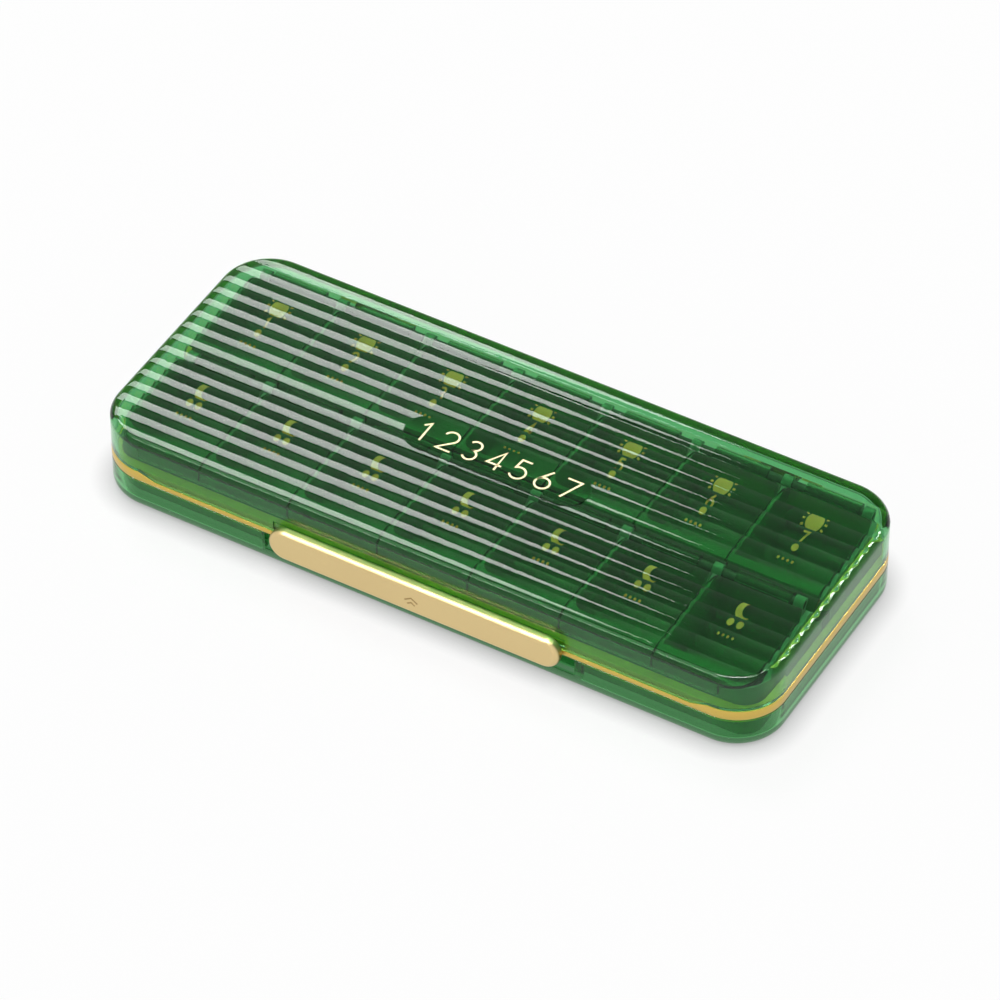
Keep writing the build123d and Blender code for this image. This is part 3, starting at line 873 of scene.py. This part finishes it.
# %% [markdown]
# ## Strips, cell lids, rods and pins
#
# These solids have the right shape already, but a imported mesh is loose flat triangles. In a copy, the
# triangles are merged and each flat becomes one face; the facets of the rounds are then smoothed. Plain
# smoothing would also tilt the flats, which in clear plastic shows as dark wedges, so a modifier weighs
# each point's normal by the size of the faces round it, and the large flats win.


# %% Smoothed copies
COPY_MERGE = 1e-6
FLAT_ANGLE = radians(0.3)
FLAT_WEIGHT = 100


def smooth_copy(node, finish):
    """A copy of a node's mesh, merged and smoothed across its small facets."""
    source = frame["nodes"][node]
    mesh = source.data.copy()
    work = bmesh.new()
    work.from_mesh(mesh)
    bmesh.ops.remove_doubles(work, verts=work.verts, dist=COPY_MERGE)
    bmesh.ops.dissolve_limit(work, angle_limit=FLAT_ANGLE, verts=work.verts, edges=work.edges)
    for face in work.faces:
        face.smooth = True
    work.to_mesh(mesh)
    work.free()
    mesh.set_sharp_from_angle(angle=SHARP_ANGLE)
    mesh.materials.clear()
    mesh.materials.append(finish)
    piece = bpy.data.objects.new(node + "_smooth", mesh)
    scene.collection.objects.link(piece)
    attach(piece, source["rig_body"])
    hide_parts(node)
    level = piece.modifiers.new("flats", "WEIGHTED_NORMAL")
    level.weight = FLAT_WEIGHT
    level.keep_sharp = True


smooth_copy("latch_bar", latch_champagne)
for row in ("am", "pm"):
    smooth_copy(f"{row}_tray", tray_green)
    smooth_copy(f"{row}_rod", pin_steel)
    for day in DAYS:
        smooth_copy(f"{row}_lid_{day}", cell_lid_green)
for node in ("hinge_pin_left", "hinge_pin_right", "latch_pin"):
    smooth_copy(node, pin_steel)

# %% [markdown]
# ## Prints
#
# Each rear cell lid carries a sun, a plain number for its day and one spot; each front one a moon and two
# spots; both have a row of small dots below. The marks could be painted by a pattern in the finish, but as
# thin plates of ink, cut from plain outlines, they keep a real edge at any distance.


# %% Thin plates
def plates(outlines, base_z, thick):
    """Points and faces of flat outlines (x, y) raised into thin plates."""
    points, faces = [], []
    start = 0
    for outline in outlines:
        outline = np.asarray(outline, float)
        count = len(outline)
        low = np.concatenate([outline, np.full((count, 1), base_z)], axis=1)
        high = np.concatenate([outline, np.full((count, 1), base_z + thick)], axis=1)
        points += [low, high]
        number = start + np.arange(2 * count).reshape(2, count)
        faces += grid_faces(number, closed=True).tolist()
        faces += [number[0, ::-1].tolist(), number[1].tolist()]
        start += 2 * count
    return np.concatenate(points), faces


def ribbon(path, width):
    """Outline of a stroke: a path moved half a width to each side along its averaged normal."""
    path = np.asarray(path, float)
    step = np.diff(path, axis=0)
    step /= np.linalg.norm(step, axis=1, keepdims=True)
    normal = np.stack([-step[:, 1], step[:, 0]], axis=-1)
    mean = np.concatenate([normal[:1], normal[:-1] + normal[1:], normal[-1:]])
    mean /= np.linalg.norm(mean, axis=1, keepdims=True)
    lead = np.concatenate([normal[:1], normal])
    stretch = 1 / np.maximum((mean * lead).sum(axis=1, keepdims=True), 0.5)
    side = mean * stretch * width / 2
    return np.concatenate([path + side, (path - side)[::-1]])


NUMERALS = {
    1: [[(0.10, 0.80), (0.32, 1.0), (0.32, 0.0)]],
    2: [np.concatenate([arc_points((0.30, 0.71), 0.29, 165, -38, 16), [(0.0, 0.0), (0.60, 0.0)]])],
    3: [
        np.concatenate([arc_points((0.28, 0.76), 0.24, 150, -90, 16), [(0.22, 0.52)]]),
        np.concatenate([[(0.22, 0.52)], arc_points((0.28, 0.26), 0.26, 90, -150, 18)]),
    ],
    4: [[(0.44, 0.0), (0.44, 1.0), (0.0, 0.28), (0.60, 0.28)]],
    5: [
        np.concatenate(
            [[(0.52, 1.0), (0.12, 1.0), (0.07, 0.55)], arc_points((0.27, 0.31), 0.31, 112, -150, 20)]
        )
    ],
    6: [np.concatenate([[(0.44, 1.0)], arc_points((0.30, 0.29), 0.29, 160, 520, 32)])],
    7: [[(0.0, 1.0), (0.60, 1.0), (0.18, 0.0)]],
}
NUMERAL_MIDDLE = (0.30, 0.5)
SUN_RADIUS = 2.1
RAY_COUNT = 14
RAY_ENDS = (2.5, 3.15)
RAY_WIDTH = 0.42
MOON_RADIUS = 2.05
MOON_TURNS = (50, 325)
MOON_SHIFT = (0.95, 0.2)
MOON_INNER_COUNT = 24


def numeral(value, centre, height, width):
    """Stroke outlines of a plain numeral of a given height, centred on a point."""
    paths = [(np.asarray(path) - NUMERAL_MIDDLE) * height + centre for path in NUMERALS[value]]
    return [ribbon(path, width) for path in paths]


def disc(centre, radius, count=24):
    """Outline of a round spot."""
    return arc_points(centre, radius, 0, 360 - 360 / count, count)


def sun(centre):
    """A round spot with a ring of short rays."""
    turns = np.radians(np.arange(RAY_COUNT) * 360 / RAY_COUNT)
    ways = [np.array((cos(t), sin(t))) for t in turns]
    rays = [ribbon([np.array(centre) + r * way for r in RAY_ENDS], RAY_WIDTH) for way in ways]
    return [disc(centre, SUN_RADIUS, 36)] + rays


def dot_row(centre, count, step, radius):
    """A row of small round dots, centred on a point."""
    places = (np.arange(count) - (count - 1) / 2) * step
    return [disc((centre[0] + place, centre[1]), radius, 16) for place in places]


def moon(centre):
    """A crescent: the outer arc of one circle and the inner arc of another."""
    outer = arc_points(centre, MOON_RADIUS, *MOON_TURNS, 36)
    inner_centre = np.array(centre) + MOON_SHIFT
    start = np.degrees(np.arctan2(*(outer[-1] - inner_centre)[::-1])) % 360
    stop = np.degrees(np.arctan2(*(outer[0] - inner_centre)[::-1])) % 360
    reach = np.hypot(*(outer[0] - inner_centre))
    end_reach = np.hypot(*(outer[-1] - inner_centre))
    inner = arc_points(inner_centre, 1.0, start, stop, MOON_INNER_COUNT) - inner_centre
    inner = inner * np.linspace(end_reach, reach, MOON_INNER_COUNT)[:, None] + inner_centre
    return [np.concatenate([outer, inner[1:-1]])]


# %% Prints on the cell lids
CELL_PITCH = 23.65
PLATE_TOP = 18.0
INK = 0.03
SUN_Y = 20.9
NUMBER_Y = 15.5
SPOT_Y = 11.4
REAR_DOTS_Y = 6.8
MOON_Y = -11.9
SPOTS_Y = -16.6
FRONT_DOTS_Y = -21.2
NUMBER_HEIGHT = 2.5
NUMBER_STROKE = 0.46
SPOT_RADIUS = 0.8
SPOT_STEP = 2.4
DOTS = (4, 1.2, 0.3)
for day in DAYS:
    column = (day - MIDDLE_DAY) * CELL_PITCH
    marks = sun((column, SUN_Y)) + numeral(day, (column, NUMBER_Y), NUMBER_HEIGHT, NUMBER_STROKE)
    marks += [disc((column, SPOT_Y), SPOT_RADIUS)] + dot_row((column, REAR_DOTS_Y), *DOTS)
    points, faces = plates(marks, PLATE_TOP, INK)
    put_piece(f"print_am_{day}", points, faces, print_gold, f"am_lid_{day}")
    marks = moon((column, MOON_Y)) + dot_row((column, SPOTS_Y), 2, SPOT_STEP, SPOT_RADIUS)
    marks += dot_row((column, FRONT_DOTS_Y), *DOTS)
    points, faces = plates(marks, PLATE_TOP, INK)
    put_piece(f"print_pm_{day}", points, faces, print_gold, f"pm_lid_{day}")

# %% [markdown]
# ## Plaque and latch marks
#
# The smooth plaque carries the seven numbers in thin foil. The latch has a small pointer that shows
# which way it lifts.

# %% Plaque numbers
FOIL = 0.03
FOIL_PITCH = 6.3
FOIL_HEIGHT = 6.2
FOIL_STROKE = 0.5
strokes = []
for day in DAYS:
    strokes += numeral(day, ((day - MIDDLE_DAY) * FOIL_PITCH, 0.0), FOIL_HEIGHT, FOIL_STROKE)
points, faces = plates(strokes, LID_TOP, FOIL)
put_piece("plaque_numbers", points, faces, plaque_gold, "case_lid")

# %% Latch pointer
POINTER_STROKE = 0.38
POINTER_THICK = 0.02
pointer = [
    ribbon([(-1.7, -0.45), (0.0, 0.65), (1.7, -0.45)], POINTER_STROKE),
    ribbon([(-1.0, -1.35), (0.0, -0.7), (1.0, -1.35)], POINTER_STROKE),
]
points, faces = plates(pointer, 0.0, POINTER_THICK)
points = np.stack([points[:, 0], LATCH_FRONT - points[:, 2], LATCH_MIDDLE + points[:, 1]], axis=-1)
put_piece("latch_pointer", points, faces, latch_mark, "latch")

# %% [markdown]
# ## Floor
#
# The box lies on white paper. Paper lit to pure white would need so much light that the box would wash out,
# so most of its white is a glow that camera, mirror and transmitted rays see, over a thin matt layer that
# takes the shadow. A soft fade close to the box stands for the light that it keeps off the paper.

# %% Floor
FLOOR_HALF = 5.0
PAPER_GREY = 0.10
PAPER_GLOW = 0.89
CONTACT_REACH = 0.006
CONTACT_LEAST = 0.31
floor_mesh = bpy.data.meshes.new("floor")
corner_signs = np.array([(-1, -1), (1, -1), (1, 1), (-1, 1)]) * FLOOR_HALF
floor_mesh.from_pydata(np.concatenate([corner_signs, np.zeros((4, 1))], axis=1).tolist(), [], [(0, 1, 2, 3)])
floor = bpy.data.objects.new("floor", floor_mesh)
scene.collection.objects.link(floor)
floor_paper = bpy.data.materials.new("floor_paper")
floor_paper.use_nodes = True
nodes, links = floor_paper.node_tree.nodes, floor_paper.node_tree.links
nodes.remove(nodes["Principled BSDF"])
matt = nodes.new("ShaderNodeBsdfDiffuse")
matt.inputs["Color"].default_value = (PAPER_GREY, PAPER_GREY, PAPER_GREY, 1)
glow = nodes.new("ShaderNodeEmission")
path = nodes.new("ShaderNodeLightPath")
seen = nodes.new("ShaderNodeMath")
seen.operation = "MAXIMUM"
also = nodes.new("ShaderNodeMath")
also.operation = "MAXIMUM"
level = nodes.new("ShaderNodeMath")
level.operation = "MULTIPLY"
level.inputs[1].default_value = PAPER_GLOW
links.new(path.outputs["Is Camera Ray"], seen.inputs[0])
links.new(path.outputs["Is Glossy Ray"], seen.inputs[1])
links.new(seen.outputs[0], also.inputs[0])
links.new(path.outputs["Is Transmission Ray"], also.inputs[1])
links.new(also.outputs[0], level.inputs[0])
contact = nodes.new("ShaderNodeAmbientOcclusion")
contact.samples = 8
contact.inputs["Distance"].default_value = CONTACT_REACH
fade = nodes.new("ShaderNodeMapRange")
fade.inputs["To Min"].default_value = CONTACT_LEAST
links.new(contact.outputs["AO"], fade.inputs["Value"])
near = nodes.new("ShaderNodeMath")
near.operation = "MULTIPLY"
links.new(level.outputs[0], near.inputs[0])
links.new(fade.outputs["Result"], near.inputs[1])
links.new(near.outputs[0], glow.inputs["Strength"])
both = nodes.new("ShaderNodeAddShader")
links.new(matt.outputs[0], both.inputs[0])
links.new(glow.outputs[0], both.inputs[1])
links.new(both.outputs[0], nodes["Material Output"].inputs["Surface"])
floor_mesh.materials.append(floor_paper)
print("floor", 2 * FLOOR_HALF, "m wide")

# %% [markdown]
# ## Surroundings
#
# A studio's walls show in every polished surface. A picture of one could be wrapped round the scene, but a
# ramp by height with a lighter side in front gives the same broad tones and no stray shapes in the ribs.

# %% World
FRONT_FILL = 0.9
FILL_START = 0.2
FILL_END = -0.1
world = bpy.data.worlds.new("studio")
scene.world = world
world.use_nodes = True
nodes, links = world.node_tree.nodes, world.node_tree.links
where = nodes.new("ShaderNodeTexCoord")
parts = nodes.new("ShaderNodeSeparateXYZ")
links.new(where.outputs["Generated"], parts.inputs[0])
sky = nodes.new("ShaderNodeValToRGB")
sky_steps = ((0.0, 0.7), (0.07, 0.7), (0.22, 0.44), (1.0, 0.32))
for place, tone in sky_steps[1:3]:
    sky.color_ramp.elements.new(place)
for element, (place, tone) in zip(sky.color_ramp.elements, sky_steps):
    element.position = place
    element.color = (tone, tone, tone, 1)
links.new(parts.outputs["Z"], sky.inputs["Fac"])
ahead = nodes.new("ShaderNodeMapRange")
ahead.inputs["From Min"].default_value = FILL_START
ahead.inputs["From Max"].default_value = FILL_END
links.new(parts.outputs["Y"], ahead.inputs["Value"])
front_fill = nodes.new("ShaderNodeMix")
front_fill.data_type = "RGBA"
front_fill.inputs["B"].default_value = (FRONT_FILL, FRONT_FILL, FRONT_FILL, 1)
links.new(ahead.outputs["Result"], front_fill.inputs["Factor"])
links.new(sky.outputs["Color"], front_fill.inputs["A"])
links.new(front_fill.outputs["Result"], nodes["Background"].inputs["Color"])
nodes["Background"].inputs["Strength"].default_value = 1.0
print("sky steps", len(sky.color_ramp.elements))

# %% [markdown]
# ## Light panels
#
# Most of the light is one softbox above and to the left, and its mirror image in the ribs is the row of
# bright lines. A lamp has no outline to reflect, so each light is a flat panel that glows. A card above and
# four narrow strips are there for their reflections alone; each strip stands where the edge that it should
# glint on mirrors it into the camera.


# %% Light panels
def light_panel(name, points, radiance, lights=True, sampled=True):
    """A flat panel of even light from its corner points in metres; one that only glints lights nothing.

    A panel that isn't sampled is found by mirror rays alone, so what lies under the lid doesn't see it.
    """
    mesh = bpy.data.meshes.new(name)
    mesh.from_pydata(np.asarray(points).tolist(), [], [list(range(len(points)))])
    panel = bpy.data.objects.new(name, mesh)
    scene.collection.objects.link(panel)
    panel.visible_transmission = False
    panel.visible_diffuse = lights
    light = bpy.data.materials.new(name + "_light")
    light.use_nodes = True
    light.cycles.emission_sampling = "AUTO" if sampled else "NONE"
    nodes, links = light.node_tree.nodes, light.node_tree.links
    nodes.remove(nodes["Principled BSDF"])
    shine = nodes.new("ShaderNodeEmission")
    shine.inputs["Strength"].default_value = radiance
    links.new(shine.outputs[0], nodes["Material Output"].inputs["Surface"])
    mesh.materials.append(light)
    print(name, "radiance", radiance)


PANEL_DISTANCE = 12.0
SOFTBOX_TILT = radians(29.3)
SOFTBOX_RADIANCE = 13.0
CARD_RADIANCE = 2.0
softbox_plan = np.array([(-0.417, -0.20), (-0.344, 0.05), (-0.417, 0.20), (-0.80, 0.20), (-0.80, -0.20)])
away = np.array([0, sin(SOFTBOX_TILT), cos(SOFTBOX_TILT)])
along = np.array([0, cos(SOFTBOX_TILT), -sin(SOFTBOX_TILT)])
softbox_points = away + softbox_plan[:, :1] * np.array([1, 0, 0]) + softbox_plan[:, 1:] * along
light_panel("softbox", PANEL_DISTANCE * softbox_points, SOFTBOX_RADIANCE)
card_plan = np.array([(-0.75, -0.9), (-0.05, -0.9), (-0.05, 0.13), (-0.75, 0.13)])
card_points = np.concatenate([card_plan, np.ones((4, 1))], axis=1)
light_panel("top_card", PANEL_DISTANCE * card_points, CARD_RADIANCE, lights=False)
STRIP_RADIANCE = 40.0
STRIP_HALF = 0.035
FRONT_HALF = 0.08
LOW_HALF = 0.06
LOW_RADIANCE = 12.0
BOUNCES = 24
CLEAR_BOUNCES = 32


def strip_light(name, start, end, half=STRIP_HALF, radiance=STRIP_RADIANCE, sampled=True):
    """A narrow panel that only glints, between two directions."""
    start, end = np.array(start), np.array(end)
    side = np.cross(start, end)
    side *= half / np.linalg.norm(side)
    corners = np.array([start - side, start + side, end + side, end - side])
    light_panel(name, PANEL_DISTANCE * corners, radiance, lights=False, sampled=sampled)


strip_light("strip_right", (0.0, 0.62, 0.785), (0.46, 0.62, 0.635))
strip_light("strip_front", (-0.25, -0.31, 0.92), (0.31, -0.05, 0.95), FRONT_HALF, sampled=False)
strip_light("strip_low", (-0.60, -0.68, 0.62), (-0.10, -0.68, 0.62), LOW_HALF, LOW_RADIANCE)
strip_light("strip_corner", (-0.08, 0.60, 0.80), (0.10, 0.22, 0.97))

scene.cycles.max_bounces = BOUNCES
scene.cycles.transmission_bounces = BOUNCES
scene.cycles.transparent_max_bounces = CLEAR_BOUNCES
